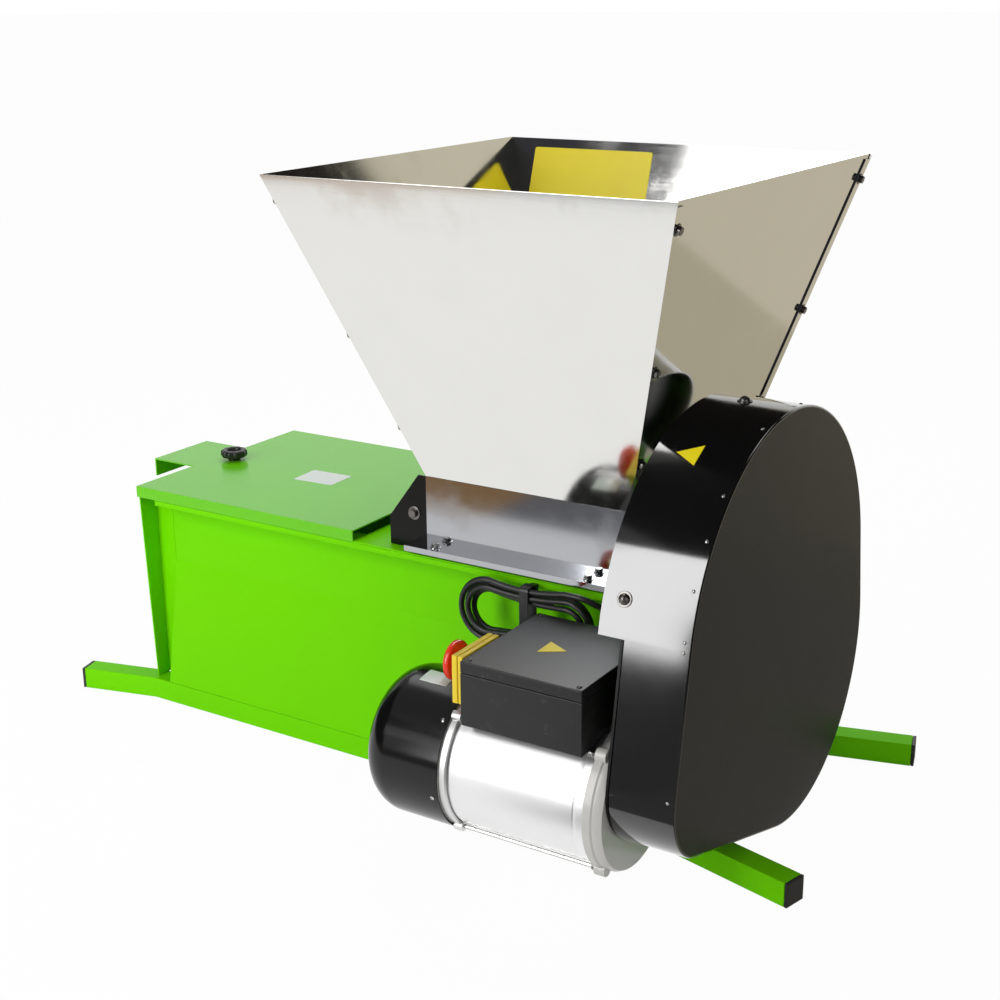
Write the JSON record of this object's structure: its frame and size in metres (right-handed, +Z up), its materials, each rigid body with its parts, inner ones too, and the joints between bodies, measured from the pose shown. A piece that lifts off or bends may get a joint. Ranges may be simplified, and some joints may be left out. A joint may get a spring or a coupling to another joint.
{
  "type": "grape crusher destemmer",
  "caption": "Electric grape crusher and destemmer with a square hopper, lobed rollers, a pegged beater, a belt and gear drive under a guard, and a side-mounted motor.",
  "frame": {"origin": "middle of the machine's footprint box on the floor", "axes": "+X from the stem outlet towards the belt guard, -Y towards the motor, +Z up"},
  "size_m": [1.1138, 0.655, 0.7651],
  "materials": {
    "green": "gloss lime-green powder coat",
    "stainless": "bright polished stainless sheet",
    "black_sheet": "gloss black powder coat",
    "black_plastic": "moulded black plastic",
    "aluminium": "cast and drawn, pale silver",
    "steel": "turned steel",
    "rubber": "matte black",
    "yellow_plastic": "moulded safety yellow",
    "red_plastic": "moulded red",
    "green_plastic": "moulded green",
    "roller_plastic": "pale food-grade moulding"
  },
  "bodies": {
    "machine": {"side_panel_near": "green", "side_panel_far": "green", "outlet_end_plate": "green", "drive_end_plate": "green", "deck_plate": "green", "support_tube_near": "green", "support_tube_far": "green", "tube_cap_near_left": "black_plastic", "tube_cap_near_right": "black_plastic", "tube_cap_far_left": "black_plastic", "tube_cap_far_right": "black_plastic", "lid_stud": "steel", "hopper_neck": "stainless", "hopper_near": "stainless", "hopper_far": "stainless", "hopper_left": "stainless", "hopper_right": "stainless", "roller_bush_near_left": "steel", "roller_bush_near_right": "steel", "roller_bush_far_left": "steel", "roller_bush_far_right": "steel", "roller_guide_near": "stainless", "roller_guide_far": "stainless", "roller_bracket_left": "black_sheet", "roller_bracket_right": "black_sheet", "beater_bush_left": "steel", "beater_bush_right": "steel", "perforated_grate": "stainless", "drive_belt": "rubber", "motor_frame": "aluminium", "motor_front_shield": "aluminium", "motor_rear_shield": "aluminium", "motor_fan_cowl": "black_sheet", "guard_cover": "black_sheet", "guard_back_plate": "black_sheet", "terminal_box": "black_plastic", "terminal_box_lid": "black_plastic", "switch_housing": "yellow_plastic", "cable_gland": "black_plastic", "power_lead": "rubber", "lead_hank": "rubber", "lead_tie": "black_plastic", "lead_plug": "rubber"},
    "beater": {"beater": "steel", "beater_pinion": "steel", "beater_pulley": "steel"},
    "roller_near": {"roller_near": "roller_plastic", "roller_drive_gear": "steel", "roller_gear_near": "steel"},
    "roller_far": {"roller_far": "roller_plastic", "roller_gear_far": "steel"},
    "rotor": {"motor_shaft": "steel", "motor_fan": "black_plastic", "motor_pulley": "steel"},
    "lid": {"lid": "green"},
    "knob": {"lid_knob": "black_plastic"},
    "flap": {"switch_flap": "yellow_plastic"},
    "mushroom": {"stop_mushroom": "red_plastic"},
    "start": {"start_button": "green_plastic"},
    "stop": {"stop_button": "red_plastic"}
  },
  "joints": [
    {"name": "beater_spin", "type": "hinge", "parent": "machine", "child": "beater", "pos_m": [0, 0.0595, 0.17], "axis": [1, 0, 0], "continuous": true},
    {"name": "motor_spin", "type": "hinge", "parent": "machine", "child": "rotor", "pos_m": [0, -0.2405, 0.137], "axis": [1, 0, 0], "continuous": true},
    {"name": "roller_near_spin", "type": "hinge", "parent": "machine", "child": "roller_near", "pos_m": [0, 0.0095, 0.33248], "axis": [1, 0, 0], "continuous": true},
    {"name": "roller_far_spin", "type": "hinge", "parent": "machine", "child": "roller_far", "pos_m": [0, 0.1095, 0.33248], "axis": [1, 0, 0], "continuous": true},
    {"name": "lid_lift", "type": "slide", "parent": "machine", "child": "lid", "axis": [0, 0, 1], "range_m": [0, 0.25]},
    {"name": "knob_turn", "type": "hinge", "parent": "lid", "child": "knob", "pos_m": [-0.409, 0.0595, 0.33], "axis": [0, 0, 1], "continuous": true},
    {"name": "flap_hinge", "type": "hinge", "parent": "machine", "child": "flap", "pos_m": [0.2218, -0.2675, 0.2815], "axis": [0, 1, 0], "range_deg": [0, 100]},
    {"name": "mushroom_press", "type": "slide", "parent": "flap", "child": "mushroom", "axis": [1, 0, 0], "range_m": [0, 0.002], "stiffness_N_per_m": 400},
    {"name": "start_press", "type": "slide", "parent": "machine", "child": "start", "axis": [1, 0, 0], "range_m": [0, 0.002], "stiffness_N_per_m": 400},
    {"name": "stop_press", "type": "slide", "parent": "machine", "child": "stop", "axis": [1, 0, 0], "range_m": [0, 0.002], "stiffness_N_per_m": 400}
  ],
  "couplings": [
    {"joint": "motor_spin", "follows": "beater_spin", "ratio": 3.7551},
    {"joint": "roller_near_spin", "follows": "beater_spin", "ratio": -0.30769},
    {"joint": "roller_far_spin", "follows": "beater_spin", "ratio": 0.30769}
  ]
}
